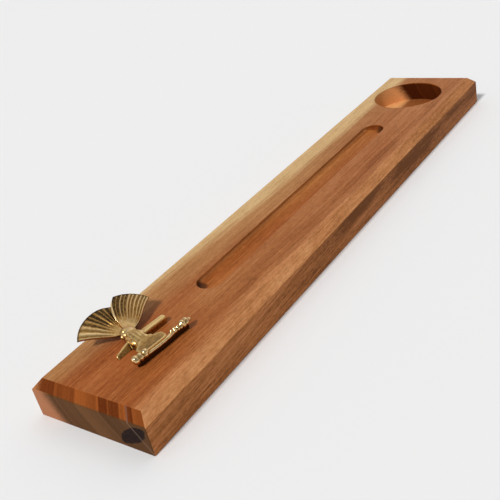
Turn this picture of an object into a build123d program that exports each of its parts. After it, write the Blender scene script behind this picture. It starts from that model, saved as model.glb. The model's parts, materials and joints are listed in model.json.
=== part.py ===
"""Incense stick holder: a chamfered hardwood board with an ash groove, a round recess and a brass leaf sprig."""

import os
from math import cos, radians, sin, tan

from build123d import *

os.makedirs("parts", exist_ok=True)

# Board, lying flat with its length along Y and its underside at Z = 0
board_length = 317
board_width = 58
board_height = 16.5
edge_chamfer = 3.8
edge_softness = 0.5
rim_softness = 0.4

# Ash groove, a shallow slot down the middle of the top, measured from the sprig's end
groove_width = 12
groove_length = 167.5
groove_depth = 2.7
groove_setback = 72.5
groove_floor_radius = 2.2

# Round recess for a cup candle or a cone dish, measured from the far end
recess_diameter = 39.5
recess_depth = 10.5
recess_setback = 32
recess_side_shift = -1.2

# Place of the brass sprig on the board, and the turn of its stem
sprig_setback = 33.6
sprig_side_shift = 0.9
sprig_turn = -8

# Stem, a humped casting that lies on the board between the leaf and the bud bar
stem_side_angle = 70
shoulder_share = 0.25
stem_neck_width = 6.4
stem_neck_height = 3.4
stem_waist_width = 7.8
stem_waist_height = 4.5
stem_waist_reach = -3
stem_throat_width = 8
stem_throat_height = 4.9
stem_throat_reach = 2.2
stem_front_width = 14.4
stem_front_height = 4.6
stem_front_reach = 7.4

# Tongue, a thin rounded lip that overhangs the bud bar
tongue_reach = 11.4
tongue_width = 14
tongue_thickness = 1.2

# Side arms of the stem, which rest on the board, the far one longer and swept back
near_arm_length = 11.8
far_arm_length = 15
arm_root_width = 3.2
arm_root_height = 3.2
arm_tip_width = 2.3
arm_tip_height = 2.3
arm_root_reach = -2.6
near_arm_tip_reach = -1.1
far_arm_tip_reach = -2.8
arm_side_angle = 84

# Leaf, a ribbed fan of two lobes that leans up and away from the stem
leaf_tilt = 28
leaf_turn = -10
leaf_thickness = 1.2
neck_reach = 9.2
neck_height = 3.2
leaf_root_width = 8
leaf_tab_width = 5
leaf_tab_clearance = 0.2
notch_radius = 10.9
notch_angle = 12
far_inner_radius = 17
far_inner_angle = 27
far_middle_radius = 17.8
far_middle_angle = 46
far_tip_radius = 18.9
far_tip_angle = 69
near_inner_radius = 14
near_inner_angle = -4
near_middle_radius = 16.6
near_middle_angle = -36
near_tip_radius = 18.2
near_tip_angle = -65
lobe_corner_radius = 1.2
ribs_per_lobe = 7
rib_start_radius = 3.4
rib_start_width = 0.45
rib_end_width = 0.9
rib_height = 0.5

# Bud bar under the tongue, with buds at both ends and its far end longer
near_bar_length = 12.2
far_bar_length = 17.6
bar_depth = 2.4
bar_height = 2.4
bar_edge_radius = 0.9
bud_lift_share = 0.85
near_bud_place_shares = (0.72, 0.86)
near_bud_radius_shares = (0.76, 0.6)
far_bud_place_shares = (0.52, 0.68, 0.82, 0.93)
far_bud_radius_shares = (0.62, 0.68, 0.76, 0.6)

# Stick socket, drilled into the stem's far side and leaning up over the groove
stick_diameter = 2.5
stick_clearance = 0.05
socket_depth = 5
socket_reach = 2.6
socket_height = 3
socket_lean = 15
spot_face_width = 0.8
spot_face_depth = 0.3

# Two screws that hold the stem from under the board, each with a washer
screw_reaches = (-2.3, 5.5)
screw_diameter = 2.5
screw_grip = 3
thread_clearance = 0.05
screw_tip_clearance = 0.5
shank_clearance = 0.3
screw_head_diameter = 4.8
screw_head_height = 2
socket_key_width = 2
socket_key_depth = 1.1
washer_diameter = 6
washer_thickness = 0.5
washer_clearance = 0.15
counterbore_depth = 4.5
counterbore_clearance = 0.25

# How far a cut runs past the face that it opens
overrun = 6

# Planes that the sprig is built on
sprig = Plane(
    origin=(sprig_side_shift, sprig_setback - board_length / 2, board_height),
    x_dir=(cos(radians(sprig_turn)), sin(radians(sprig_turn)), 0),
    z_dir=(0, 0, 1),
)
leaf_seat = Plane(
    origin=sprig.from_local_coords((-neck_reach, 0, neck_height)),
    x_dir=(
        -cos(radians(leaf_tilt)) * cos(radians(leaf_turn)),
        -cos(radians(leaf_tilt)) * sin(radians(leaf_turn)),
        sin(radians(leaf_tilt)),
    ),
    z_dir=(
        sin(radians(leaf_tilt)) * cos(radians(leaf_turn)),
        sin(radians(leaf_tilt)) * sin(radians(leaf_turn)),
        cos(radians(leaf_tilt)),
    ),
)
underside = sprig.offset(-board_height)
screw_places = [(reach, 0) for reach in screw_reaches]


def across(reach, lift=0):
    """Upright plane across the stem, with X to the far side and Y up."""
    return Plane(
        origin=sprig.from_local_coords((reach, 0, lift)),
        x_dir=sprig.y_dir,
        z_dir=sprig.x_dir,
    )


def beside(reach, side):
    """Upright plane along the stem, a distance to its side, with X along the stem and Y up."""
    return Plane(
        origin=sprig.from_local_coords((reach, side, 0)),
        x_dir=sprig.x_dir,
        z_dir=-sprig.y_dir,
    )


def hump(plane, width, height, side_angle=stem_side_angle):
    """Section with a flat foot, leaning sides and rounded shoulders."""
    top_width = width - 2 * height / tan(radians(side_angle))
    with BuildSketch(plane) as section:
        Trapezoid(width, height, side_angle, align=(Align.CENTER, Align.MIN))
        fillet(section.vertices().group_by(Axis.Y)[-1], radius=top_width * shoulder_share)
    return section.sketch


def polar(radius, angle):
    """Point on the leaf's plane, at an angle from the leaf's middle line towards the far side."""
    return (radius * cos(radians(angle)), -radius * sin(radians(angle)))


# Board
with BuildPart() as board:
    with BuildSketch():
        Rectangle(board_width, board_length)
    extrude(amount=board_height)
    chamfer(board.faces().sort_by(Axis.Z)[-1].edges(), length=edge_chamfer)
    fillet(board.edges(), radius=edge_softness)
    with BuildSketch(Plane.XY.offset(board_height)):
        with Locations((0, groove_setback + groove_length / 2 - board_length / 2)):
            SlotOverall(groove_length, groove_width, rotation=90)
    extrude(amount=-groove_depth, mode=Mode.SUBTRACT)
    groove_floor = board.faces().filter_by(Plane.XY).sort_by(Axis.Z)[-2]
    fillet(groove_floor.edges(), radius=groove_floor_radius)
    with BuildSketch(Plane.XY.offset(board_height)):
        with Locations((recess_side_shift, board_length / 2 - recess_setback)):
            Circle(recess_diameter / 2)
    extrude(amount=-recess_depth, mode=Mode.SUBTRACT)
    fillet(board.faces().sort_by(Axis.Z)[-1].inner_wires().edges(), radius=rim_softness)
    with BuildSketch(sprig):
        with Locations(*screw_places):
            Circle(screw_diameter / 2 + shank_clearance)
    extrude(amount=-board_height, mode=Mode.SUBTRACT)
    with BuildSketch(underside):
        with Locations(*screw_places):
            Circle(washer_diameter / 2 + counterbore_clearance)
    extrude(amount=counterbore_depth, mode=Mode.SUBTRACT)
board.part.label = "board"
export_step(board.part, "parts/board.step")

# Stem with its tongue and side arms, cut at the back to the slope of the leaf
stem_neck_reach = -neck_reach - neck_height / tan(radians(leaf_tilt))
stem_sections = [
    hump(across(stem_neck_reach), stem_neck_width, stem_neck_height),
    hump(across(stem_waist_reach), stem_waist_width, stem_waist_height),
    hump(across(stem_throat_reach), stem_throat_width, stem_throat_height),
    hump(across(stem_front_reach), stem_front_width, stem_front_height),
]
tongue_lift = stem_front_height - tongue_thickness
tongue_overhang = tongue_reach - stem_front_reach
socket_side = stem_throat_width / 2 - socket_height / tan(radians(stem_side_angle))
socket_out = sprig.y_dir * cos(radians(socket_lean)) + sprig.z_dir * sin(radians(socket_lean))
socket_rim = sprig.from_local_coords((socket_reach, socket_side, socket_height))
socket_mouth = Plane(
    origin=socket_rim - socket_out * spot_face_depth,
    x_dir=sprig.x_dir,
    z_dir=socket_out,
)
socket_radius = stick_diameter / 2 + stick_clearance
with BuildPart() as stem:
    loft(stem_sections, ruled=True)
    split(bisect_by=leaf_seat, keep=Keep.TOP)
    with BuildSketch(sprig.offset(tongue_lift)):
        with Locations((stem_front_reach, 0)):
            Ellipse(tongue_overhang, tongue_width / 2)
    extrude(amount=tongue_thickness)
    for arm_end, arm_tip_reach in (
        (-near_arm_length, near_arm_tip_reach),
        (far_arm_length, far_arm_tip_reach),
    ):
        arm_sections = [
            hump(beside(arm_root_reach, 0), arm_root_width, arm_root_height, arm_side_angle),
            hump(beside(arm_tip_reach, arm_end), arm_tip_width, arm_tip_height, arm_side_angle),
        ]
        loft(arm_sections, ruled=True)
    with BuildSketch(sprig):
        with Locations(*screw_places):
            Circle(screw_diameter / 2 + thread_clearance)
    extrude(amount=screw_grip + screw_tip_clearance, mode=Mode.SUBTRACT)
    with BuildSketch(socket_mouth):
        Circle(socket_radius + spot_face_width)
    extrude(amount=overrun, mode=Mode.SUBTRACT)
    with BuildSketch(socket_mouth):
        Circle(socket_radius)
    extrude(amount=-socket_depth, mode=Mode.SUBTRACT)
stem.part.label = "stem"
export_step(stem.part, "parts/stem.step")

# Leaf, brazed by its tab to the sloping back of the stem
tab_drop = neck_height - leaf_tab_clearance - leaf_thickness * cos(radians(leaf_tilt))
tab_length = tab_drop / sin(radians(leaf_tilt))
with BuildSketch(leaf_seat) as leaf_outline:
    with BuildLine():
        far_edge = Polyline(
            polar(notch_radius, notch_angle),
            polar(far_inner_radius, far_inner_angle),
        )
        far_rim = ThreePointArc(
            far_edge @ 1,
            polar(far_middle_radius, far_middle_angle),
            polar(far_tip_radius, far_tip_angle),
        )
        root = Polyline(
            far_rim @ 1,
            (0, -leaf_root_width / 2),
            (-tab_length, -leaf_tab_width / 2),
            (-tab_length, leaf_tab_width / 2),
            (0, leaf_root_width / 2),
            polar(near_tip_radius, near_tip_angle),
        )
        near_rim = ThreePointArc(
            root @ 1,
            polar(near_middle_radius, near_middle_angle),
            polar(near_inner_radius, near_inner_angle),
        )
        Line(near_rim @ 1, far_edge @ 0)
    make_face()
    fillet(leaf_outline.vertices().sort_by_distance((0, 0, 0))[-4:], radius=lobe_corner_radius)
with BuildPart() as leaf:
    extrude(leaf_outline.sketch, amount=-leaf_thickness)
    with BuildSketch(leaf_seat) as ribs:
        for first, last in ((far_inner_angle, far_tip_angle), (near_inner_angle, near_tip_angle)):
            rib_step = (last - first) / ribs_per_lobe
            for index in range(ribs_per_lobe):
                angle = first + rib_step * (index + 1 / 2)
                with Locations(Location((0, 0, 0), (0, 0, -angle))):
                    Polygon(
                        (rib_start_radius, -rib_start_width / 2),
                        (far_tip_radius, -rib_end_width / 2),
                        (far_tip_radius, rib_end_width / 2),
                        (rib_start_radius, rib_start_width / 2),
                        align=None,
                    )
        add(leaf_outline.sketch_local, mode=Mode.INTERSECT)
    extrude(amount=rib_height)
leaf.part.label = "leaf"
export_step(leaf.part, "parts/leaf.step")

# Bud bar, brazed under the tongue and against the stem's front
bar_lift = tongue_lift - bar_height
bud_reach = stem_front_reach + bar_depth / 2
bud_lift = bar_lift + bar_height * bud_lift_share
bud_sides = [-share * near_bar_length for share in near_bud_place_shares]
bud_sides += [share * far_bar_length for share in far_bud_place_shares]
bud_radii = [share * bar_height for share in near_bud_radius_shares + far_bud_radius_shares]
with BuildPart() as bud_bar:
    with BuildSketch(beside(stem_front_reach, far_bar_length)) as bar_profile:
        with Locations((0, bar_lift)):
            Rectangle(bar_depth, bar_height, align=(Align.MIN, Align.MIN))
        fillet(bar_profile.vertices().group_by(Axis.X)[-1], radius=bar_edge_radius)
    extrude(amount=far_bar_length + near_bar_length)
    for bud_side, bud_radius in zip(bud_sides, bud_radii):
        with Locations(sprig.from_local_coords((bud_reach, bud_side, bud_lift))):
            Sphere(bud_radius)
bud_bar.part.label = "bud_bar"
export_step(bud_bar.part, "parts/bud_bar.step")

# Screws, with their heads sunk in the counterbores
screw_seat = underside.offset(counterbore_depth - washer_thickness)
screw_length = washer_thickness + board_height - counterbore_depth + screw_grip
with BuildPart() as fixing_screws:
    with BuildSketch(screw_seat):
        with Locations(*screw_places):
            Circle(screw_diameter / 2)
    extrude(amount=screw_length)
    with BuildSketch(screw_seat):
        with Locations(*screw_places):
            Circle(screw_head_diameter / 2)
    extrude(amount=-screw_head_height)
    with BuildSketch(screw_seat.offset(-screw_head_height)):
        with Locations(*screw_places):
            RegularPolygon(socket_key_width / 2, 6, major_radius=False)
    extrude(amount=socket_key_depth, mode=Mode.SUBTRACT)
fixing_screws.part.label = "fixing_screws"
export_step(fixing_screws.part, "parts/fixing_screws.step")

# Washers under the screw heads
with BuildPart() as screw_washers:
    with BuildSketch(screw_seat):
        with Locations(*screw_places):
            Circle(washer_diameter / 2)
            Circle(screw_diameter / 2 + washer_clearance, mode=Mode.SUBTRACT)
    extrude(amount=washer_thickness)
screw_washers.part.label = "screw_washers"
export_step(screw_washers.part, "parts/screw_washers.step")
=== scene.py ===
"""Looks of the incense stick holder: oiled hardwood board, cast brass leaf sprig, soft studio light."""

import json
import math
import random

import bmesh
import bpy
import numpy as np
from mathutils import Matrix, Quaternion, Vector


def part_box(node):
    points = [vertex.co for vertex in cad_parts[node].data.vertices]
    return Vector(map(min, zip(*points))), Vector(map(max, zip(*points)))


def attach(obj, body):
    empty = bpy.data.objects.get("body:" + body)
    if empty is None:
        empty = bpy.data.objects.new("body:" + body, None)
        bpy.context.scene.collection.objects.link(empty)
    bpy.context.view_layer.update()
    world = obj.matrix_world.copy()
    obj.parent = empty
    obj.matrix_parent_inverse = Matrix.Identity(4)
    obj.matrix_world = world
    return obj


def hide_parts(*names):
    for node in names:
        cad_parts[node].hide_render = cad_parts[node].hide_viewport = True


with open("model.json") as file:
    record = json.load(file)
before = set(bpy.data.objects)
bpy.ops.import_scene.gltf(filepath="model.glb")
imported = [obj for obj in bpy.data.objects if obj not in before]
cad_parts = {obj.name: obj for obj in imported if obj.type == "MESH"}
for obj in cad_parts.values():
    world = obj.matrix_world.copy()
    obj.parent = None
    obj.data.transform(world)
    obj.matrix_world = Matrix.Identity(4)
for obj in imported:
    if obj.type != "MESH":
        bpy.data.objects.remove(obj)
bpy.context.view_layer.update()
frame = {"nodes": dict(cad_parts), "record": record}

# Units: the frame is in metres, and the shapes below are written in millimetres
MM = 0.001
UP = Vector((0, 0, 1))
DOWN = -UP
board_low, board_high = [corner / MM for corner in map(Vector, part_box("board"))]

# Place of the sprig on the board, in millimetres and degrees.
# In the sprig's own frame X runs from the leaf to the bud bar, Y to the far side and Z up from the wood.
sprig_setback = 33.6
sprig_side_shift = 0.9
sprig_turn = -8
sprig_matrix = (
    Matrix.Scale(MM, 4)
    @ Matrix.Translation((sprig_side_shift, board_low.y + sprig_setback, board_high.z))
    @ Matrix.Rotation(math.radians(sprig_turn), 4, "Z")
)

# Place of the leaf on the sprig
leaf_tilt = math.radians(28)
leaf_turn = math.radians(-2)
neck = Vector((-9.2, 0, 3.2))


# Small helpers


def smoothstep(low, high, value):
    share = min(max((value - low) / (high - low), 0), 1)
    return share * share * (3 - 2 * share)


def lerp(first, last, share):
    return first + (last - first) * share


def squared(wave, squareness):
    """A sine or cosine drawn out towards a square corner: 1 is round, less is squarer."""
    return math.copysign(abs(wave) ** squareness, wave)


def between(stops, place):
    """Smooth value at a place, from a list of (place, value) stops in rising order."""
    for (left, left_value), (right, right_value) in zip(stops, stops[1:]):
        if place <= right:
            return lerp(left_value, right_value, smoothstep(left, right, place))
    return stops[-1][1]


def reached(values, low, high):
    """How far an array of values has gone from low to high, kept within 0 and 1."""
    return np.clip((values - low) / (high - low), 0, 1)


def opaque(colour):
    """A colour with its alpha, as the sockets take it."""
    return (*colour, 1)


# Meshes


class Shells:
    """Closed shells gathered into one mesh, in the sprig's millimetres."""

    underside_polish = 0.35

    def __init__(self):
        self.points = []
        self.faces = []
        self.polish = []

    def rings(self, rings, polish=1):
        """A tube through equal rings of points, closed by a cap at both ends."""
        start = len(self.points)
        count = len(rings[0])
        for ring in rings:
            self.points.extend(ring)
        for row in range(len(rings) - 1):
            for index in range(count):
                here = start + row * count + index
                after = start + row * count + (index + 1) % count
                self.faces.append((here, after, after + count, here + count))
        self.faces.append(tuple(range(start + count - 1, start - 1, -1)))
        self.faces.append(tuple(range(len(self.points) - count, len(self.points))))
        self.polish.extend([polish] * (len(self.points) - start))

    def tube(self, spine, sides=20, squareness=1.0):
        """A tube along (centre, half width, half height) stations, round or with a squarer section."""
        rings = []
        for index, (centre, half_width, half_height) in enumerate(spine):
            before = spine[max(index - 1, 0)][0]
            after = spine[min(index + 1, len(spine) - 1)][0]
            along = (after - before).normalized()
            side = along.cross(UP).normalized()
            up = side.cross(along)
            ring = []
            for step in range(sides):
                angle = 2 * math.pi * step / sides
                across = half_width * squared(math.cos(angle), squareness)
                above = half_height * squared(math.sin(angle), squareness)
                ring.append(centre + side * across + up * above)
            rings.append(ring)
        self.rings(rings)

    def bead(self, centre, radii, sides=20, polish=1):
        """An egg of three radii."""
        rings = []
        rows = sides // 2
        for row in range(rows):
            tilt = math.pi * (row + 0.5) / rows
            ring = []
            for step in range(sides):
                turn = 2 * math.pi * step / sides
                across = radii[0] * math.sin(tilt) * math.cos(turn)
                along = radii[1] * math.sin(tilt) * math.sin(turn)
                ring.append(centre + Vector((across, along, radii[2] * math.cos(tilt))))
            rings.append(ring)
        self.rings(rings, polish)

    def sheet(self, rows, columns, place, thickness):
        """A closed sheet: place(s, t) gives the top point, its polish and the way down."""
        start = len(self.points)
        for level in (0, 1):
            for row in range(rows + 1):
                for column in range(columns + 1):
                    point, polish, down = place(column / columns, row / rows)
                    self.points.append(point + down * thickness * level)
                    self.polish.append(polish if level == 0 else self.underside_polish)
        width = columns + 1
        under = start + width * (rows + 1)
        for row in range(rows):
            for column in range(columns):
                here = row * width + column
                quad = (here, here + 1, here + 1 + width, here + width)
                self.faces.append(tuple(start + corner for corner in quad))
                self.faces.append(tuple(under + corner for corner in reversed(quad)))
        edge = list(range(columns))
        edge += [row * width + columns for row in range(rows)]
        edge += [rows * width + column for column in range(columns, 0, -1)]
        edge += [row * width for row in range(rows, 0, -1)]
        for first, second in zip(edge, edge[1:] + edge[:1]):
            self.faces.append((start + second, start + first, under + first, under + second))

    def mesh(self, name):
        mesh = bpy.data.meshes.new(name)
        mesh.from_pydata([tuple(point) for point in self.points], [], self.faces)
        work = bmesh.new()
        work.from_mesh(mesh)
        bmesh.ops.recalc_face_normals(work, faces=work.faces)
        work.to_mesh(mesh)
        work.free()
        return mesh


def add_object(name, data):
    """A new object that is linked into the scene."""
    added = bpy.data.objects.new(name, data)
    bpy.context.scene.collection.objects.link(added)
    return added


def evaluated(mesh, build_modifiers):
    """A new mesh: the given one after the modifiers that build_modifiers adds to its object."""
    work = add_object("work", mesh)
    build_modifiers(work)
    view = bpy.context.evaluated_depsgraph_get()
    result = bpy.data.meshes.new_from_object(work.evaluated_get(view))
    bpy.data.objects.remove(work)
    return result


def fuse(mesh, voxel, smoothing):
    """One skin over all the shells, with softened joins."""

    def build(work):
        remesh = work.modifiers.new("fuse", "REMESH")
        remesh.mode = "VOXEL"
        remesh.voxel_size = voxel
        smooth = work.modifiers.new("soften", "SMOOTH")
        smooth.factor = 0.5
        smooth.iterations = smoothing

    return evaluated(mesh, build)


def cut_foot(mesh):
    """Cuts off what lies under the board's top and closes the foot flat."""
    work = bmesh.new()
    work.from_mesh(mesh)
    parts = work.verts[:] + work.edges[:] + work.faces[:]
    cut = bmesh.ops.bisect_plane(work, geom=parts, clear_outer=True, plane_co=(0, 0, 0), plane_no=DOWN)
    rim = [part for part in cut["geom_cut"] if isinstance(part, bmesh.types.BMEdge)]
    bmesh.ops.holes_fill(work, edges=rim)
    bmesh.ops.recalc_face_normals(work, faces=work.faces)
    work.to_mesh(mesh)
    work.free()


def neighbours_mean(points, edges, rounds):
    """Points after rounds of moving each one to the mean of its neighbours."""
    count = np.zeros(len(points))
    np.add.at(count, edges[:, 0], 1)
    np.add.at(count, edges[:, 1], 1)
    count = np.maximum(count, 1)[:, None]
    for _ in range(rounds):
        total = np.zeros_like(points)
        np.add.at(total, edges[:, 0], points[edges[:, 1]])
        np.add.at(total, edges[:, 1], points[edges[:, 0]])
        points = total / count
    return points


def mesh_arrays(mesh):
    """Points, normals and edges of a mesh, one to a row."""
    points = np.empty(len(mesh.vertices) * 3)
    mesh.vertices.foreach_get("co", points)
    normals = np.empty(len(mesh.vertices) * 3)
    mesh.vertices.foreach_get("normal", normals)
    edges = np.empty(len(mesh.edges) * 2, dtype=np.int64)
    mesh.edges.foreach_get("vertices", edges)
    return points.reshape(-1, 3), normals.reshape(-1, 3), edges.reshape(-1, 2)


def relief(mesh, rounds, reach):
    """How far each point stands out of its softened surroundings, from 0 in a crease to 1 on a crest."""
    points, normals, edges = mesh_arrays(mesh)
    stands_out = ((points - neighbours_mean(points, edges, rounds)) * normals).sum(axis=1)
    return np.clip(0.5 + stands_out / (2 * reach), 0, 1)


def set_polish(mesh, values):
    """How bright the metal is rubbed at each point, for the material to read."""
    layer = mesh.attributes.new("polish", "FLOAT", "POINT")
    layer.data.foreach_set("value", np.asarray(values, dtype=np.float32))


def add_piece(name, mesh, node, material):
    """A finished piece in the place of a node."""
    sharp_angle = math.radians(50)
    mesh.transform(sprig_matrix)
    mesh.materials.clear()
    mesh.materials.append(material)
    mesh.shade_smooth()
    mesh.set_sharp_from_angle(angle=sharp_angle)
    piece = add_object(name, mesh)
    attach(piece, "root")
    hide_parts(node)


# Materials


# Where the dark, middle and light tones lie on a scale from 0 to 1
tone_places = (0.25, 0.5, 0.75)


class Graph:
    """Shader nodes, added one after another."""

    def __init__(self, owner):
        owner.use_nodes = True
        self.tree = owner.node_tree
        self.tree.nodes.clear()

    def add(self, kind, inputs=None, **settings):
        node = self.tree.nodes.new(kind)
        for key, value in settings.items():
            setattr(node, key, value)
        for key, value in (inputs or {}).items():
            if isinstance(value, bpy.types.NodeSocket):
                self.tree.links.new(value, node.inputs[key])
            else:
                node.inputs[key].default_value = value
        return node

    def math(self, operation, first, second=0.0):
        return self.add("ShaderNodeMath", {0: first, 1: second}, operation=operation).outputs[0]

    def minus(self, first, second):
        return self.math("SUBTRACT", first, second)

    def square(self, value):
        return self.math("POWER", value, 2)

    def total(self, first, *others):
        for other in others:
            first = self.math("ADD", first, other)
        return first

    def product(self, first, *others):
        for other in others:
            first = self.math("MULTIPLY", first, other)
        return first

    def distance(self, first, second):
        """Length of two offsets that are square to each other."""
        return self.math("SQRT", self.total(self.square(first), self.square(second)))

    def blend(self, factor, first, second, blend_type="MIX"):
        inputs = {0: factor, 6: first, 7: second}
        return self.add("ShaderNodeMix", inputs, data_type="RGBA", blend_type=blend_type).outputs[2]

    def tinted(self, colour, tint):
        return self.blend(1.0, colour, opaque(tint), "MULTIPLY")

    def step(self, value, low, high, to_low=0.0, to_high=1.0, linear=False):
        inputs = {"Value": value, 1: low, 2: high, 3: to_low, 4: to_high}
        kind = "LINEAR" if linear else "SMOOTHSTEP"
        return self.add("ShaderNodeMapRange", inputs, interpolation_type=kind).outputs[0]

    def spread(self, value, reach):
        """A value about 0.5 turned into one about 0, over a reach."""
        return self.product(self.minus(value, 0.5), reach)

    def parts(self, vector):
        return self.add("ShaderNodeSeparateXYZ", {0: vector}).outputs

    def inside(self, value, middle, half, softness):
        """One within a half width of a middle, falling off softly to nought."""
        away = self.math("ABSOLUTE", self.minus(value, middle))
        return self.step(away, half + softness, half - softness)

    def near_spot(self, x, y, middle, radius, softness):
        """One within a radius of an upright line, falling off softly to nought."""
        away = self.distance(self.minus(x, middle[0]), self.minus(y, middle[1]))
        return self.step(away, radius + softness, radius - softness)

    def stretched(self, vector, scales):
        return self.add("ShaderNodeVectorMath", {0: vector, 1: scales}, operation="MULTIPLY").outputs[0]

    def noise(self, vector, scale, detail, roughness):
        inputs = {"Vector": vector, "Scale": scale, "Detail": detail, "Roughness": roughness}
        return self.add("ShaderNodeTexNoise", inputs).outputs["Fac"]

    def line_noise(self, place, scale, detail, roughness):
        inputs = {"W": place, "Scale": scale, "Detail": detail, "Roughness": roughness}
        return self.add("ShaderNodeTexNoise", inputs, noise_dimensions="1D").outputs["Fac"]

    def ramp(self, factor, stops):
        node = self.add("ShaderNodeValToRGB", {0: factor})
        elements = node.color_ramp.elements
        while len(elements) < len(stops):
            elements.new(0.5)
        for element, (position, colour) in zip(elements, stops):
            element.position = position
            element.color = opaque(colour)
        return node.outputs[0]

    def tones(self, factor, colours, places=tone_places):
        return self.ramp(factor, list(zip(places, colours)))

    def bump(self, height, strength, distance):
        inputs = {"Height": height, "Strength": strength, "Distance": distance}
        return self.add("ShaderNodeBump", inputs).outputs[0]

    def surface(self, inputs):
        shader = self.add("ShaderNodeBsdfPrincipled", inputs)
        self.add("ShaderNodeOutputMaterial", {"Surface": shader.outputs[0]})


def millimetres(graph):
    """Places on the object in millimetres, and its normal."""
    coordinates = graph.add("ShaderNodeTexCoord")
    inputs = {0: coordinates.outputs["Object"], "Scale": 1 / MM}
    scaled = graph.add("ShaderNodeVectorMath", inputs, operation="SCALE")
    return scaled.outputs[0], coordinates.outputs["Normal"]


# Growth rings by their distance from the heart of the tree: how light each band is
year_span = (34, 84)
year_marks = [
    (34, 0.6), (38.8, 0.55), (39.6, 0.8), (40.2, 0.1), (41.4, 0.3), (42.3, 0.2), (42.6, 0.85),
    (43.6, 0.6), (44.8, 0.75), (45.3, 0.2), (49.2, 0.2), (49.5, 0.7), (49.8, 0.2), (53.0, 0.15),
    (53.5, 0.85), (54.4, 0.5), (57, 0.6), (59, 0.75), (62.6, 0.85), (63.6, 0.4), (68, 0.5),
    (71, 0.35), (72.8, 0.6), (73.4, 0.25), (82, 0.3),
]
year_bands = []
for distance, lightness in year_marks:
    share = (distance - year_span[0]) / (year_span[1] - year_span[0])
    year_bands.append((share, (lightness, lightness, lightness)))

# Patterns of the grain: repeats per millimetre across, along and through the board, detail, roughness
grain_patterns = {
    "wander": ((0.03, 0.009, 0.03), 2, 0.5),
    "broad": ((0.06, 0.014, 0.06), 2, 0.5),
    "blotches": ((0.22, 0.07, 0.22), 3, 0.6),
    "fibres": ((1.5, 0.03, 1.5), 3, 0.6),
    "flecks": ((1.4, 0.4, 1.4), 4, 0.7),
    "stain": ((0.1, 0.05, 0.3), 3, 0.6),
    "pores": ((2.2, 0.14, 2.2), 2, 0.5),
}

# Colours of the long grain from dark to light
red_tones = [(0.19, 0.043, 0.007), (0.335, 0.089, 0.018), (0.46, 0.155, 0.04)]
heart_tones = [(0.2, 0.058, 0.011), (0.355, 0.118, 0.03), (0.48, 0.195, 0.064)]
tan_tones = [(0.31, 0.12, 0.033), (0.44, 0.2, 0.068), (0.56, 0.29, 0.115)]
pale_tones = [(0.31, 0.108, 0.028), (0.54, 0.225, 0.082), (0.7, 0.345, 0.145)]
side_tones = [(0.17, 0.056, 0.014), (0.43, 0.158, 0.05), (0.58, 0.24, 0.095)]
sap_tones = [(0.48, 0.265, 0.097), (0.63, 0.405, 0.185), (0.74, 0.52, 0.265)]

# Colours of the end grain from dark to light, where it is planed, sawn or darkened by painted shade
# inside the recess, and of its sapwood
end_tone_places = (0.1, 0.9)
end_tones = [(0.095, 0.017, 0.002), (0.3, 0.08, 0.015)]
sawn_tones = [(0.07, 0.029, 0.0095), (0.135, 0.058, 0.02)]
recess_end_shade_tones = [(0.045, 0.007, 0.001), (0.1, 0.021, 0.004)]
end_sap = (0.42, 0.17, 0.062)
sawn_edge = (0.088, 0.038, 0.014)
sawn_sap = (0.37, 0.15, 0.07)
# Painted light on the recess's sapwood end grain
recess_end_sap_lit = (0.78, 0.35, 0.13)

# Colours of the groove, the recess and the marks in the wood
groove_floor_tint = (1.0, 0.85, 0.62)
# Painted light on the groove's left wall
groove_wall_light = (0.6, 0.27, 0.09)
# Painted shade at the groove's ends
groove_end_shade = (0.06, 0.018, 0.005)
# Painted shade on the recess floor
recess_floor_shade_tint = (0.8, 0.68, 0.64)
# Painted light on the recess's sapwood
recess_sap_lit = (0.8, 0.39, 0.145)
knot_black = (0.012, 0.006, 0.005)
knot_ray = (0.3, 0.2, 0.15)
pore_brown = (0.12, 0.036, 0.009)

# Heights just under the board's top, between which what is cut into it begins
cut_start = (board_high.z - 0.1, board_high.z - 0.9)


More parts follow.
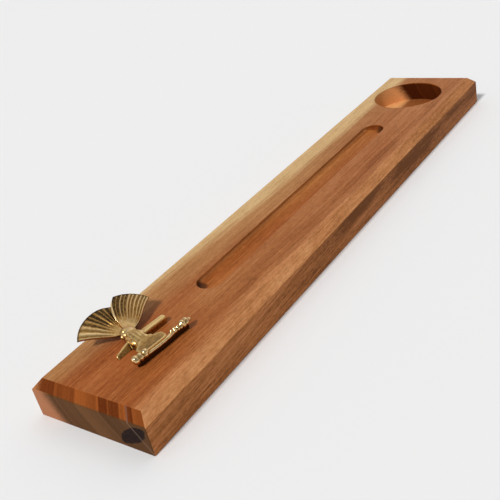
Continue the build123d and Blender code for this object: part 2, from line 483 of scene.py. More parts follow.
class Wood(Graph):
    """Hardwood of the board. Each method that colours it lays its colour over what is there."""

    def __init__(self):
        self.material = bpy.data.materials.new("board_wood")
        super().__init__(self.material)
        self.place, normal = millimetres(self)
        self.x, self.y, self.z = self.parts(self.place)
        self.towards_x, self.towards_y, _ = self.parts(normal)
        self.colour = None

    def pattern(self, name):
        repeats, detail, roughness = grain_patterns[name]
        return self.noise(self.stretched(self.place, repeats), 1, detail, roughness)

    def cover(self, share, colour):
        self.colour = self.blend(share, self.colour, colour)

    def grow(self):
        """Growth rings round the heart of the tree, which the board leaves at a slight slant."""
        heart_x, heart_z = 50, 42
        slant_start, slant_end = board_low.y - 30, 30
        slant = 11.7
        wander = 4
        away = self.distance(self.minus(self.x, heart_x), self.minus(self.z, heart_z))
        leaning = self.step(self.y, slant_start, slant_end, 0, slant)
        self.ring = self.total(away, leaning, self.spread(self.pattern("wander"), wander))
        self.years = self.ramp(self.step(self.ring, *year_span, linear=True), year_bands)
        lines_per_millimetre = 1.1
        self.lines = self.line_noise(self.ring, lines_per_millimetre, detail=3, roughness=0.65)

    def shade_grain(self):
        """Tone of the long grain: a middle tone, moved by each pattern over its own reach."""
        self.broad = self.pattern("broad")
        self.blotches = self.pattern("blotches")
        self.fibres = self.pattern("fibres")
        self.flecks = self.pattern("flecks")
        self.tone = self.total(
            0.5,
            self.spread(self.years, 0.19),
            self.spread(self.lines, 0.3),
            self.spread(self.fibres, 0.5),
            self.spread(self.broad, 0.25),
            self.spread(self.blotches, 0.25),
            self.spread(self.flecks, 0.55),
        )

    def colour_heartwood(self):
        """Red at the near end, brown further on, and paler towards both long edges."""
        brown_from, brown_to = -150, -60
        brown_patches = 2
        tan_rings = (66, 79)
        tan_fades_from, tan_fades_to, tan_left = 20, 110, 0.3
        pale_from, pale_to = 18, 28
        patches = self.spread(self.broad, brown_patches)
        brown = self.total(patches, self.step(self.y, brown_from, brown_to))
        reds = self.tones(self.tone, red_tones)
        self.colour = self.blend(brown, reds, self.tones(self.tone, heart_tones))
        fading = self.step(self.y, tan_fades_from, tan_fades_to, 1, tan_left)
        tan = self.product(self.step(self.ring, *tan_rings), fading)
        self.cover(tan, self.tones(self.tone, tan_tones))
        self.cover(self.step(self.x, pale_from, pale_to), self.tones(self.tone, pale_tones))

    def colour_side(self):
        """The right side, with two dark stains and darker away from the near end."""
        facing_right = (0.8, 0.95)
        # Each stain: its middle, half length and softness along the board, and the same upwards
        stain_places = [((2, 20, 15), (10.5, 2.5, 2)), ((62, 24, 18), (8.5, 4, 3))]
        patchiness = 1.6
        stain_depth = 0.4
        dark_from, dark_to, darker = -90, -20, 0.1
        patches = self.total(self.spread(self.pattern("stain"), patchiness), 0.5)
        stains = []
        for along, upwards in stain_places:
            stains.append(self.product(self.inside(self.y, *along), self.inside(self.z, *upwards)))
        stained = self.product(self.math("MAXIMUM", *stains), patches)
        tone = self.minus(self.tone, self.product(stained, stain_depth))
        tone = self.minus(tone, self.step(self.y, dark_from, dark_to, 0, darker))
        self.side_share = self.step(self.towards_x, *facing_right)
        self.cover(self.side_share, self.tones(tone, side_tones))

    def colour_sapwood(self):
        """The pale outer rings, with a ragged border."""
        border = (79, 84.5)
        raggedness = 4
        self.ragged_ring = self.total(self.ring, self.spread(self.fibres, raggedness))
        self.sap_share = self.step(self.ragged_ring, *border)
        self.cover(self.sap_share, self.tones(self.tone, sap_tones))

    def colour_groove(self):
        """The groove's floor, tinted a deeper orange, and painted light on its left wall, which the key
        light barely reaches.
        """
        half_width, half_length, softness = 12, 97, 1
        lowest = (12, 13)
        facing_right = (0.6, 0.95)
        wall_light_share = 0.4
        depths = self.product(self.step(self.z, *cut_start), self.step(self.z, *lowest))
        within = self.inside(self.x, 0, half_width, softness)
        along = self.inside(self.y, 0, half_length, softness)
        self.in_groove = self.product(within, along, depths)
        self.cover(self.in_groove, self.tinted(self.colour, groove_floor_tint))
        # Painted light: the wall that faces right is made paler, as if lit
        wall = self.product(self.in_groove, self.step(self.towards_x, *facing_right), wall_light_share)
        self.cover(wall, opaque(groove_wall_light))

    def shade_ends(self):
        """End grain takes more oil and goes dark, and the sawn end is dull."""
        facing_ends = (0.2, 0.65)
        sawn_depths = (0.6, 0.2)
        edge_from, edge_to = 8, 26
        sap_rings = (74, 82)
        self.end_share = self.step(self.math("ABSOLUTE", self.towards_y), *facing_ends)
        marks = self.total(self.spread(self.lines, 0.3), self.spread(self.flecks, 0.35))
        self.end_tone = self.total(self.years, marks)
        planed = self.tones(self.end_tone, end_tones, end_tone_places)
        planed = self.blend(self.sap_share, planed, opaque(end_sap))
        sawn = self.tones(self.end_tone, sawn_tones, end_tone_places)
        sawn = self.blend(self.step(self.x, edge_from, edge_to), sawn, opaque(sawn_edge))
        sawn = self.blend(self.step(self.ragged_ring, *sap_rings), sawn, opaque(sawn_sap))
        sawn_places = [board_high.y - depth for depth in sawn_depths]
        sawn_share = self.step(self.math("ABSOLUTE", self.y), *sawn_places)
        self.end_colour = self.blend(sawn_share, planed, sawn)

    def colour_recess(self):
        """Inside of the round recess: painted shade darkens its heartwood floor and its dark end grain
        further, and painted light brightens its sapwood.
        """
        middle = (-1.2, board_high.y - 32)
        radius, softness = 20.05, 0.15
        lowest = (4.5, 5.5)
        depths = self.product(self.step(self.z, *cut_start), self.step(self.z, *lowest))
        in_recess = self.product(self.near_spot(self.x, self.y, middle, radius, softness), depths)
        # Painted shade on the heartwood end grain and painted light on the sapwood inside the recess
        painted = self.tones(self.end_tone, recess_end_shade_tones, end_tone_places)
        painted = self.blend(self.sap_share, painted, opaque(recess_end_sap_lit))
        self.end_colour = self.blend(in_recess, self.end_colour, painted)
        # Painted shade on the floor's heartwood and painted light on its sapwood
        floor_shaded = self.tinted(self.colour, recess_floor_shade_tint)
        self.cover(in_recess, self.blend(self.sap_share, floor_shaded, opaque(recess_sap_lit)))

    def colour_ends(self):
        """The end grain on all that faces the two ends."""
        self.cover(self.end_share, self.end_colour)

    def paint_groove_end_shade(self):
        """Painted shade in a corner at each end of the groove, where its wall faces away from the light.
        """
        near_corner, near_radius = (-3.9, -82.2), 2.6
        far_corner, far_radius = (3.4, 79.8), 2.8
        softness = 1
        strength = 0.85
        near = self.near_spot(self.x, self.y, near_corner, near_radius, softness)
        far = self.near_spot(self.x, self.y, far_corner, far_radius, softness)
        # Painted shade on the end walls of the groove
        painted = self.product(self.in_groove, self.math("MAXIMUM", near, far), strength)
        self.cover(painted, opaque(groove_end_shade))

    def colour_knot(self):
        """Knot that the near end cuts through, with a light ray across it."""
        middle_x, middle_z = 21.3, 7.0
        turn = math.radians(33)
        cosine, sine = math.cos(turn), math.sin(turn)
        half_length, half_height, half_depth = 7.8, 3.2, 3
        raggedness = 1.2
        border = (1.15, 0.75)
        right = self.minus(self.x, middle_x)
        up = self.minus(self.z, middle_z)
        along = self.total(self.product(right, cosine), self.product(up, sine))
        across = self.total(self.product(right, -sine), self.product(up, cosine))
        behind = self.minus(self.y, board_low.y)
        away = self.total(
            self.square(self.product(along, 1 / half_length)),
            self.square(self.product(across, 1 / half_height)),
            self.square(self.product(behind, 1 / half_depth)),
            self.spread(self.blotches, raggedness),
        )
        self.cover(self.step(away, *border), opaque(knot_black))
        ray_slope, ray_place = 1.41, 41.8
        ray_half_width, ray_softness = 0.5, 0.3
        ray_share = 0.3
        leaning = self.total(self.product(self.x, ray_slope), self.z)
        ray = self.inside(leaning, ray_place, ray_half_width, ray_softness)
        self.cover(self.product(ray, self.end_share, ray_share), opaque(knot_ray))

    def colour_pores(self):
        """Open pores, short dark dashes along the grain, which show most on the right."""
        pore_sizes = (0.42, 0.33)
        left, right = 2, 18
        left_share, right_share = 0.22, 0.4
        pores = self.step(self.pattern("pores"), *pore_sizes)
        shown = self.step(self.x, left, right, left_share, right_share)
        self.cover(self.product(pores, shown), opaque(pore_brown))

    def oil(self):
        """Finish of the surface: satin on the long grain, duller on the ends and the right side."""
        dark_tone, light_tone = 0.3, 0.7
        dark_roughness, light_roughness = 0.56, 0.46
        satin, dull = 0.12, 0.04
        bump_strength, bump_height = 0.3, 0.2 * MM
        dull_share = self.math("MAXIMUM", self.end_share, self.side_share)
        self.surface(
            {
                "Base Color": self.colour,
                "Roughness": self.step(self.tone, dark_tone, light_tone, dark_roughness, light_roughness),
                "IOR": 1.45,
                "Specular IOR Level": self.step(dull_share, 0, 1, satin, dull),
                "Normal": self.bump(self.total(self.fibres, self.flecks), bump_strength, bump_height),
            }
        )


def wood_material():
    """The board's hardwood, from its growth rings to its oil."""
    wood = Wood()
    wood.grow()
    wood.shade_grain()
    wood.colour_heartwood()
    wood.colour_side()
    wood.colour_sapwood()
    wood.colour_groove()
    wood.shade_ends()
    wood.colour_recess()
    wood.colour_ends()
    wood.paint_groove_end_shade()
    wood.colour_knot()
    wood.colour_pores()
    wood.oil()
    return wood.material


# Colours of brass in its creases and where it is left as cast
brass_creases = (0.06, 0.033, 0.011)
brass_body = (0.48, 0.265, 0.078)
brass_tone_places = (0.05, 0.5, 0.95)


def brass_material(name, polished, gloss, dullness):
    """Cast brass, bright where hands and cloth reach and brown in the creases, with painted shade low on
    its steep sides.
    """
    clouds_per_millimetre, cloud_reach = 0.9, 0.7
    grains_per_millimetre, grain_roughness = 7, 0.08
    steepness = (0.4, -0.1)
    low_shade_top, low_shade_bottom = board_high.z + 4, board_high.z + 1.5
    low_side_shade_share = 0.65
    least_rubbed, most_rubbed = 0.1, 0.9
    bump_strength, bump_height = 0.3, 0.1 * MM
    material = bpy.data.materials.new(name)
    graph = Graph(material)
    place, normal = millimetres(graph)
    polish = graph.add("ShaderNodeAttribute", attribute_name="polish").outputs["Fac"]
    cloud = graph.noise(place, clouds_per_millimetre, detail=3, roughness=0.6)
    grain = graph.noise(place, grains_per_millimetre, detail=3, roughness=0.6)
    # Painted shade: faces that are steep and within a few millimetres of the wood are darkened
    steep = graph.step(graph.parts(normal)[2], *steepness)
    low = graph.step(graph.parts(place)[2], low_shade_top, low_shade_bottom)
    low_side_shade = graph.product(steep, low, low_side_shade_share)
    bright = graph.minus(graph.total(polish, graph.spread(cloud, cloud_reach)), low_side_shade)
    colours = [brass_creases, brass_body, polished]
    rubbed = graph.step(bright, least_rubbed, most_rubbed, dullness, gloss)
    graph.surface(
        {
            "Base Color": graph.tones(bright, colours, brass_tone_places),
            "Metallic": 1.0,
            "Roughness": graph.total(rubbed, graph.product(grain, grain_roughness)),
            "Coat Weight": 0.06,
            "Coat Roughness": 0.15,
            "Normal": graph.bump(graph.total(grain, cloud), bump_strength, bump_height),
        }
    )
    return material


def steel_material(name, colour):
    """Plated steel with turning marks and a little cloudiness."""
    clouds_per_millimetre = 1.6
    marks_per_millimetre, mark_stretch = 2, (1, 1, 9)
    shade = 0.72
    bright_roughness, cloudy_roughness = 0.26, 0.42
    bump_strength, bump_height = 0.2, 0.1 * MM
    material = bpy.data.materials.new(name)
    graph = Graph(material)
    place, _ = millimetres(graph)
    cloud = graph.noise(place, clouds_per_millimetre, detail=3, roughness=0.6)
    turned = graph.stretched(place, mark_stretch)
    marks = graph.noise(turned, marks_per_millimetre, detail=2, roughness=0.5)
    shaded = [part * shade for part in colour]
    graph.surface(
        {
            "Base Color": graph.blend(cloud, opaque(shaded), opaque(colour)),
            "Metallic": 1.0,
            "Roughness": graph.step(cloud, 0.3, 0.7, bright_roughness, cloudy_roughness),
            "Normal": graph.bump(marks, bump_strength, bump_height),
        }
    )
    return material


# Leaf: two ribbed lobes on a small hub


# The leaf's own frame: X from the root to the rim, Y to the far side, Z out of its face
cosine, sine = math.cos(leaf_tilt), math.sin(leaf_tilt)
leaf_matrix = (
    Matrix.Translation(neck)
    @ Matrix.Rotation(leaf_turn, 4, "Z")
    @ Matrix(((-cosine, 0, sine, 0), (0, 1, 0, 0), (sine, 0, cosine, 0), (0, 0, 0, 1)))
)
leaf_down = leaf_matrix.to_3x3() @ DOWN
leaf_thickness = 0.9
leaf_sink = 0.3
root_radius = 1.6

# Far lobe: radius of its rim, its two edges in degrees with their bend towards the root, and its hollow
far_rim_radius, far_rim_growth, far_rim_bulge = 17.4, 1.5, 0.5
far_inner_angle, far_inner_bend = 22.5, 1.45
far_outer_angle, far_outer_swing, far_outer_bend = 69, 41, 2.39
far_hollow = 0.4

# Near lobe, in the same order, with the depth and width of the part that lies under the far lobe
near_rim_radius, near_rim_loss, near_rim_bend = 19, 5.4, 1.1
near_inner_angle = 14
near_outer_angle, near_outer_swing, near_outer_bend = -63, -27, 3
near_hollow = 0.35
lap_depth, lap_share = 0.8, 0.3

# Ribs of the two lobes: where each one lies across its lobe, its half width and its height
far_ribs = [
    (0.14, 0.015, 0.2), (0.27, 0.022, 0.45), (0.38, 0.016, 0.22), (0.49, 0.026, 0.5),
    (0.585, 0.02, 0.38), (0.69, 0.026, 0.5), (0.8, 0.022, 0.42), (0.895, 0.02, 0.36),
    (0.975, 0.024, 0.48),
]
near_ribs = [
    (0.05, 0.02, 0.14), (0.17, 0.022, 0.19), (0.27, 0.016, 0.12), (0.38, 0.026, 0.2),
    (0.5, 0.02, 0.15), (0.61, 0.035, 0.2), (0.75, 0.05, 0.24), (0.89, 0.05, 0.28),
    (0.985, 0.02, 0.25),
]

# Polish of the two lobes: in the valleys across each lobe, at its root and on its ribs for each
# millimetre that they rise, and how far out the ribs begin to count
far_valley_polish = [(0.2, 0.1), (0.7, 0.24)]
far_root_polish, far_rib_polish, far_ribs_start = 0.68, 2.4, 0.14
near_valley_polish = [(0.62, 0.02), (0.85, 0.2)]
near_root_polish, near_rib_polish, near_ribs_start = 0.6, 2.6, 0.15


def leaf_point(radius, angle, height):
    turn = math.radians(angle)
    return leaf_matrix @ Vector((radius * math.cos(turn), radius * math.sin(turn), height))


def rib_height(ribs, place):
    return max(height * math.exp(-(((place - middle) / half) ** 2)) for middle, half, height in ribs)


def grown(t):
    """How far the ribs have risen on the way from the root to the rim, where they sink again."""
    start, full = 0.12, 0.42
    fading, lost = 0.92, 0.7
    return smoothstep(start, full, t) * (1 - lost * smoothstep(fading, 1, t))


def lobe_polish(root_polish, ribbed_polish, start, t):
    """Even near the root, then as the ribs are, and darkened at the thin rim as painted shade."""
    full = 0.5
    # Painted shade darkens the top face just inside the rim
    darkening, dark, lost = 0.96, 0.985, 0.8
    polish = lerp(root_polish, ribbed_polish, smoothstep(start, full, t))
    return polish * (1 - lost * smoothstep(darkening, dark, t))


def far_lobe(s, t):
    """The lobe on the far side, which lies over the other one: s runs across it and t to its rim."""
    rim_radius = far_rim_radius + far_rim_growth * s + far_rim_bulge * math.sin(math.pi * s)
    radius = lerp(root_radius, rim_radius, t)
    inner = far_inner_angle * t**far_inner_bend
    outer = far_outer_angle + far_outer_swing * (1 - t) ** far_outer_bend
    rib = rib_height(far_ribs, s)
    height = rib * grown(t) - far_hollow * math.sin(math.pi * s) * t - leaf_sink
    valley = between(far_valley_polish, s)
    polish = lobe_polish(far_root_polish, valley + far_rib_polish * rib, far_ribs_start, t)
    return leaf_point(radius, lerp(inner, outer, s), height), polish, leaf_down


def near_lobe(s, t):
    """The lobe on the near side, with wider and flatter ribs."""
    radius = lerp(root_radius, near_rim_radius - near_rim_loss * (1 - s) ** near_rim_bend, t)
    outer = near_outer_angle + near_outer_swing * (1 - t) ** near_outer_bend
    rib = rib_height(near_ribs, s)
    under = -lap_depth * (1 - smoothstep(0, lap_share, s))
    height = rib * grown(t) + under - near_hollow * math.sin(math.pi * s) * t - leaf_sink
    valley = between(near_valley_polish, s)
    polish = lobe_polish(near_root_polish, valley + near_rib_polish * rib, near_ribs_start, t)
    return leaf_point(radius, lerp(near_inner_angle, outer, s), height), polish, leaf_down


def rolled_edge(shells):
    """The rounded lip on the far lobe's inner edge, thickest half way along."""
    steps = 24
    start, end = 0.22, 0.86
    end_girth, swell = 0.12, 0.4
    lift = 0.25
    spine = []
    for step in range(steps + 1):
        point, _, _ = far_lobe(0, lerp(start, end, step / steps))
        girth = end_girth + swell * math.sin(math.pi * step / steps)
        spine.append((point - leaf_down * lift, girth, girth))
    shells.tube(spine, 16)


def build_leaf(material):
    rows, columns = 44, 160
    hub_shift = Vector((0.2, 0.2, -0.5))
    hub_radii = (3.7, 3.3, 1.6)
    hub_sides = 36
    hub_polish = 0.85
    shells = Shells()
    shells.sheet(rows, columns, far_lobe, leaf_thickness)
    shells.sheet(rows, columns, near_lobe, leaf_thickness)
    shells.bead(neck + hub_shift, hub_radii, hub_sides, hub_polish)
    rolled_edge(shells)
    mesh = shells.mesh("leaf_fan")
    set_polish(mesh, shells.polish)
    add_piece("leaf_fan", mesh, "leaf", material)


# Stem: humped middle with a flat tongue and two side arms


# Along the stem, from the leaf to the bar: its far side, its near side and its top
stem_far_sides = [
    (-11.5, 1.9), (-9, 2.5), (-6, 2.8), (-4, 3.5), (-2.6, 4.2), (-0.5, 2.8), (2.2, 2.5),
    (5.5, 4.0), (9.0, 4.8),
]
stem_near_sides = [
    (-11.5, -1.5), (-9.8, -2.0), (-8, -3.0), (-6, -3.7), (-3, -4.2), (0, -4.4), (2.2, -4.5),
    (5.5, -5.4), (9.0, -6.0),
]
stem_tops = [(-11.5, 2.6), (-9, 3.5), (-6, 4.2), (-3, 4.5), (0, 4.6), (2.2, 4.5), (6, 4.2), (9, 4.0)]

# Section of the stem: how square its sides and how full its two shoulders are, and its depth in the wood,
# which is cut off again
side_squareness = 0.7
far_fullness = 0.55
near_fullness = 0.8
sunk = 0.6

# Folds over the stem, each a line of places from the leaf to the tongue
stem_folds = [
    [(-7.6, -1.7), (-4.2, -2.5), (-1.6, -2.7), (1.6, -3.1)],
    [(-7.2, -0.5), (-3.8, -1.3), (-0.6, -1.7), (2.6, -2.0)],
    [(-6.8, 0.7), (-3.4, 0.2), (0.0, -0.4), (3.2, -0.8)],
    [(-6.2, 1.5), (-3.6, 1.6), (-1.2, 1.3), (0.6, 0.8)],
]

# Tongue: the centre and the reaches of its squared half round
tongue_centre = 5.6
tongue_reach = 4.2
tongue_half_width = 6.5
tongue_middle = -1.1
tongue_squareness = 0.36

# Section of the near arm as shares of its widths and its height: steep on the left, sloping on the right
ridge_section_shares = [
    (-1, -0.4), (-0.85, 0.5), (-0.4, 0.9), (0, 1), (0.2, 0.88), (0.55, 0.45), (0.9, 0.1),
    (1, -0.4),
]


def stem_section(reach):
    """Middle, half width and height of the stem's section at a reach."""
    far_side = between(stem_far_sides, reach)
    near_side = between(stem_near_sides, reach)
    return (far_side + near_side) / 2, (far_side - near_side) / 2, between(stem_tops, reach) + sunk


def stem_rise(height, angle):
    """Height over the board at an angle round the section: 0 on the far side, pi on the near side."""
    fullness = lerp(far_fullness, near_fullness, angle / math.pi)
    return height * abs(math.sin(angle)) ** fullness - sunk


def stem_body(shells):
    """Humped sections down to just under the board's top, steeper on the far side."""
    rings = []
    stations = 40
    sides = 40
    for station in range(stations + 1):
        reach = lerp(stem_tops[0][0], stem_tops[-1][0], station / stations)
        middle, half_width, height = stem_section(reach)
        ring = []
        for step in range(sides + 1):
            angle = math.pi * step / sides
            side = middle + half_width * squared(math.cos(angle), side_squareness)
            ring.append(Vector((reach, side, stem_rise(height, angle))))
        rings.append(ring)
    shells.rings(rings)


def folds(shells):
    """Low rounded folds that lie more than half sunk on the stem and taper at both ends."""
    girth = 0.55
    depth = 0.34
    steps = 18
    taper_start, taper_end = 0.12, 0.88
    for places in stem_folds:
        spine = []
        for step in range(steps + 1):
            share = step / steps
            reach = lerp(places[0][0], places[-1][0], share)
            side = between(places, reach)
            middle, half_width, height = stem_section(reach)
            wave = squared((side - middle) / half_width, 1 / side_squareness)
            centre = Vector((reach, side, stem_rise(height, math.acos(wave)) - depth))
            radius = girth * math.sin(math.pi * lerp(taper_start, taper_end, share)) ** 0.5
            spine.append((centre, radius, radius))
        shells.tube(spine, 16)


def tongue_edge(angle, inset=0):
    """Place on the tongue's outline at an angle, or a little inside it."""
    reach = tongue_centre + tongue_reach * squared(math.cos(angle), tongue_squareness) - inset
    side = tongue_middle + (tongue_half_width - inset) * squared(math.sin(angle), tongue_squareness)
    return reach, side


def tongue(shells):
    """The thin lip that fans out over the bud bar, with a rounded rim along its front."""
    rows, columns = 24, 48
    thickness = 1.3
    start_reach, start_half_width = 2.4, 2.6
    top, dip, upturn = 4.5, 0.25, 0.1
    dip_end, upturn_start = 0.6, 0.8

    def place(s, t):
        angle = lerp(-math.pi / 2, math.pi / 2, s)
        start = Vector((start_reach, tongue_middle + start_half_width * math.sin(angle), 0))
        point = start.lerp(Vector((*tongue_edge(angle), 0)), t)
        point.z = top - dip * smoothstep(0, dip_end, t) + upturn * smoothstep(upturn_start, 1, t)
        return point, 1, DOWN

    shells.sheet(rows, columns, place, thickness)
    rim_start, rim_end, rim_steps = -0.9, 0.7, 32
    rim_inset, rim_height, rim_girth = 0.25, 4.2, 0.36
    rim = []
    for step in range(rim_steps + 1):
        reach, side = tongue_edge(lerp(rim_start, rim_end, step / rim_steps), rim_inset)
        rim.append((Vector((reach, side, rim_height)), rim_girth, rim_girth))
    shells.tube(rim)


def near_arm(shells):
    """A narrow ridge, given by its crest and the width of its right slope."""
    left_width = 0.9
    crest = [
        (Vector((-4.0, -2.0, 3.0)), 3.0),
        (Vector((-4.1, -4.5, 2.5)), 2.8),
        (Vector((-3.7, -7.0, 2.1)), 2.4),
        (Vector((-2.8, -9.6, 1.8)), 1.7),
        (Vector((-2.3, -11.0, 1.6)), 1.2),
        (Vector((-2.1, -11.6, 1.1)), 0.9),
    ]
    rings = []
    for top, right_width in crest:
        ring = []
        for across, height in ridge_section_shares:
            width = left_width if across < 0 else right_width
            ring.append(Vector((top.x + across * width, top.y, top.z * height)))
        rings.append(ring)
    shells.rings(rings)


def far_arm(shells):
    """A squared bar that lies on the wood."""
    sides = 28
    squareness = 0.45
    spine = [
        (Vector((-2.7, 2.0, 1.8)), 1.7, 1.8),
        (Vector((-2.9, 6.0, 1.75)), 1.5, 1.75),
        (Vector((-3.1, 10.0, 1.65)), 1.45, 1.65),
        (Vector((-3.3, 14.1, 1.6)), 1.4, 1.6),
        (Vector((-3.3, 14.5, 1.6)), 1.2, 1.4),
    ]
    shells.tube(spine, sides, squareness)


def stem_beads(shells):
    """Two beads at the neck, one over the near arm's root and one at the tongue's start."""
    shells.bead(Vector((-9.3, -1.0, 3.5)), (1.2, 1.3, 1.0))
    shells.bead(Vector((-8.9, -2.7, 2.1)), (0.9, 0.9, 0.9))
    shells.bead(Vector((-0.9, -3.7, 2.6)), (1.9, 0.9, 1.2))
    shells.bead(Vector((1.8, 0.5, 3.9)), (1.4, 1.1, 0.95))


def socket_cutter():
    """The stick's hole and the flat round its mouth, as the record gives them."""
    mount = next(mount for mount in frame["record"]["mounts"] if mount["name"] == "stick_socket")
    axis = Vector(mount["axis"])
    middle = Vector(mount["pos_m"])
    radius = mount["dims"]["r_mm"]
    half = mount["dims"]["length_mm"] / 2
    spot_radius = radius + 0.8
    overrun = 6
    sides = 48
    turn = axis.to_track_quat("Z", "Y").to_matrix().to_4x4()
    to_sprig = sprig_matrix.inverted() @ Matrix.Translation(middle) @ turn
    stations = [(-half, radius), (half, radius), (half, spot_radius), (half + overrun, spot_radius)]
    rings = []
    for along, ring_radius in stations:
        ring = []
        for step in range(sides):
            angle = 2 * math.pi * step / sides
            local = Vector((ring_radius * math.cos(angle), ring_radius * math.sin(angle), along)) * MM
            ring.append(to_sprig @ local)
        rings.append(ring)
    shells = Shells()
    shells.rings(rings)
    return shells.mesh("socket_cutter")


def drilled(mesh):
    """The mesh with the stick's hole cut into it."""
    cutter = add_object("cutter", socket_cutter())

    def build(work):
        cut = work.modifiers.new("socket", "BOOLEAN")
        cut.operation = "DIFFERENCE"
        cut.solver = "EXACT"
        cut.object = cutter

    result = evaluated(mesh, build)
    bpy.data.objects.remove(cutter)
    return result


def stem_polish(mesh):
    """Bright on crests, on the hub and on the tongue's rim; along the near arm, painted light on the top
    of its ridge and painted shade on its right slope.
    """
    rounds, reach = 30, 0.12
    base, relief_gain, hub_gain, rim_gain = 0.28, 0.65, 0.2, 0.4
    crest_painted_light, slope_painted_shade, plate_loss = 0.3, 0.45, 0.17
    points, normals, _ = mesh_arrays(mesh)
    along, side, height = points.T
    hub = reached(along, 2, -4)
    rim = reached(along, 9.0, 9.4) * reached(height, 3.8, 4.2)
    arm = reached(side, -3, -4) * reached(along, 1, 0)
    slope = reached(normals[:, 0], 0.35, 0.65)
    crest = reached(normals[:, 2], 0.6, 0.9) * (1 - slope)
    plate = reached(along, 3, 5) * (1 - rim)
    polish = base + relief_gain * relief(mesh, rounds, reach) + hub_gain * hub + rim_gain * rim
    # On the near arm: painted light where faces look up and painted shade where they look to the right
    return polish + arm * (crest_painted_light * crest - slope_painted_shade * slope) - plate_loss * plate


def build_stem(material):
    voxel, smoothing = 0.2, 5
    shells = Shells()
    stem_body(shells)
    folds(shells)
    tongue(shells)
    near_arm(shells)
    far_arm(shells)
    stem_beads(shells)
    mesh = fuse(shells.mesh("stem_cast"), voxel, smoothing)
    cut_foot(mesh)
    mesh = drilled(mesh)
    set_polish(mesh, stem_polish(mesh))
    add_piece("stem_cast", mesh, "stem", material)


# Bud bar: a thin bar under the tongue with clusters of buds at both ends


# The bar as stations: reach, side, height and radius
bar_core = [
    (9.2, -12.2, 3.0, 0.5),
    (9.3, -11.6, 3.0, 0.9),
    (9.4, -7.5, 3.0, 1.1),
    (9.7, -4.8, 2.9, 0.85),
    (9.8, 0.0, 2.8, 0.85),
    (9.6, 5.2, 2.9, 0.85),
    (9.2, 8.0, 3.0, 0.9),
    (8.9, 12.0, 3.2, 0.9),
    (8.8, 16.5, 3.2, 0.9),
    (8.6, 17.6, 3.0, 0.6),
]

# The foot under it as stations: centre, half width and half height
bar_foot = [
    (Vector((9.2, -10.8, 1.4)), 0.3, 1.4),
    (Vector((9.3, -9.8, 1.4)), 0.7, 1.4),
    (Vector((9.4, 0.0, 1.4)), 0.7, 1.4),
    (Vector((8.9, 15.0, 1.4)), 0.6, 1.4),
    (Vector((8.8, 16.0, 1.4)), 0.3, 1.4),
]
foot_squareness = 0.5

# Clusters of buds along the bar: first and last place, how many and how large
bud_clusters = [(-6.4, -11.0, 3, 1.5), (7.4, 12.0, 4, 0.85), (13.4, 15.2, 2, 1.3)]
bud_reach, bud_height = 8.9, 3.2
bud_row_angles = (-5, 85)
bud_stand_off = 0.55

# How far the buds differ: the turn of each one in degrees, its place, its size and its length
bud_turn_spread = 14
bud_place_spread = 0.3
bud_sizes = (0.9, 1.1)
bud_lengths = (0.85, 1.1)


def buds(shells):
    """Two rows of buds on each cluster, none quite like the next."""
    draw = random.Random(4)
    for first, last, count, size in bud_clusters:
        for index in range(count):
            side = lerp(first, last, index / (count - 1))
            for row_angle in bud_row_angles:
                angle = math.radians(row_angle + draw.uniform(-bud_turn_spread, bud_turn_spread))
                radius = size * draw.uniform(*bud_sizes)
                shift = draw.uniform(-bud_place_spread, bud_place_spread)
                centre = Vector((bud_reach, side + shift, bud_height))
                centre += Vector((math.cos(angle), 0, math.sin(angle))) * bud_stand_off
                shells.bead(centre, (radius, radius * draw.uniform(*bud_lengths), radius))


def build_buds(material):
    voxel, smoothing = 0.16, 3
    rounds, reach = 20, 0.12
    foot_shade_top, foot_shade_bottom = 2.3, 1.7
    base, relief_gain, foot_painted_shade = 0.25, 0.75, 0.6
    shells = Shells()
    shells.tube(bar_foot, squareness=foot_squareness)
    shells.tube([(Vector(centre), radius, radius) for *centre, radius in bar_core])
    buds(shells)
    mesh = fuse(shells.mesh("bud_cast"), voxel, smoothing)
    cut_foot(mesh)
    points, _, _ = mesh_arrays(mesh)
    # Painted shade: the foot is darkened from under the bar down to the wood
    foot = reached(points[:, 2], foot_shade_top, foot_shade_bottom)
    set_polish(mesh, base + relief_gain * relief(mesh, rounds, reach) - foot_painted_shade * foot)
    add_piece("bud_cast", mesh, "bud_bar", material)


# Stage: floor, light and camera


# Soft light of the room: where it comes from, how bright it is and how narrow
room_lights = [
    ((-0.57, 0.67, 0.48), 0.65, 5),
    ((0.12, 0.57, 0.81), 0.95, 9),
    ((-0.45, -0.45, 0.75), 0.5, 5),
    ((0.9, -0.3, 0.25), 0.3, 2),
]


def build_floor():
    """Pale paper, a hair under the board so that the two faces don't meet."""
    grey = 0.855
    half = 4
    height = -0.02 * MM
    material = bpy.data.materials.new("floor_paper")
    paper = {"Base Color": opaque((grey, grey, grey)), "Roughness": 0.9, "Specular IOR Level": 0.1}
    Graph(material).surface(paper)
    corners = [(-half, -half, height), (half, -half, height), (half, half, height), (-half, half, height)]
    mesh = bpy.data.meshes.new("floor")
    mesh.from_pydata(corners, [], [(0, 1, 2, 3)])
    mesh.materials.append(material)
    floor = add_object("floor", mesh)


def build_key_light():
    sun = bpy.data.lights.new("key_light", "SUN")
    sun.energy = 2.4
    sun.angle = math.radians(10)
    to_light = Vector((-0.04, -0.95, 1))
    lamp = add_object("key_light", sun)
    lamp.rotation_euler = to_light.to_track_quat("Z", "Y").to_euler()


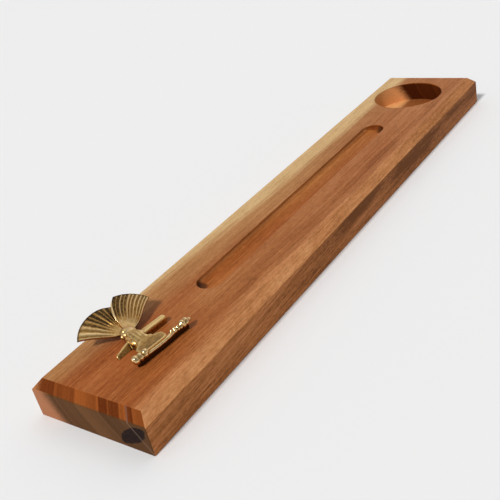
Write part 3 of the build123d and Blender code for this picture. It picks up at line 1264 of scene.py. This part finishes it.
def build_room():
    """Dim room with a pale band of wall at the height of the object and a few soft lights."""
    wall_top, wall_full, wall_light = 0.28, 0.12, 0.7
    dimmest = 0.02
    world = bpy.data.worlds.new("soft_room")
    graph = Graph(world)
    direction = graph.add("ShaderNodeTexCoord").outputs["Generated"]
    slope = graph.math("ABSOLUTE", graph.parts(direction)[2])
    level = graph.total(graph.step(slope, wall_top, wall_full, 0, wall_light), dimmest)
    for towards, strength, sharpness in room_lights:
        inputs = {0: direction, 1: Vector(towards).normalized()}
        facing = graph.add("ShaderNodeVectorMath", inputs, operation="DOT_PRODUCT").outputs["Value"]
        glow = graph.math("POWER", graph.math("MAXIMUM", facing, 0), sharpness)
        level = graph.total(level, graph.product(glow, strength))
    light = graph.add("ShaderNodeCombineColor", {0: level, 1: level, 2: level}).outputs[0]
    background = graph.add("ShaderNodeBackground", {"Color": light, "Strength": 1.0})
    graph.add("ShaderNodeOutputWorld", {"Surface": background.outputs[0]})
    bpy.context.scene.world = world


def build_camera():
    place = Vector((194.28, -278.99, 180.16))
    aim = Vector((3.3, -54.4, 16.5))
    roll = math.radians(-13.55)
    lens = bpy.data.cameras.new("camera")
    lens.sensor_width = 36
    lens.lens = 55.25
    camera = add_object("camera", lens)
    camera.location = place * MM
    turn = (aim - place).to_track_quat("-Z", "Y") @ Quaternion((0, 0, 1), roll)
    camera.rotation_euler = turn.to_euler()
    bpy.context.scene.camera = camera


def dress(node, material):
    """A better material on a node that keeps its own shape."""
    mesh = frame["nodes"][node].data
    mesh.materials.clear()
    mesh.materials.append(material)


dress("board", wood_material())
dress("fixing_screws", steel_material("screw_steel", (0.6, 0.6, 0.61)))
dress("screw_washers", steel_material("washer_steel", (0.66, 0.66, 0.67)))
build_leaf(brass_material("leaf_brass", polished=(0.86, 0.62, 0.31), gloss=0.24, dullness=0.42))
build_stem(brass_material("sprig_brass", polished=(0.86, 0.585, 0.235), gloss=0.26, dullness=0.4))
build_buds(brass_material("bud_brass", polished=(0.86, 0.61, 0.3), gloss=0.16, dullness=0.36))
build_floor()
build_key_light()
build_room()
build_camera()
bpy.context.scene.view_settings.view_transform = "Standard"
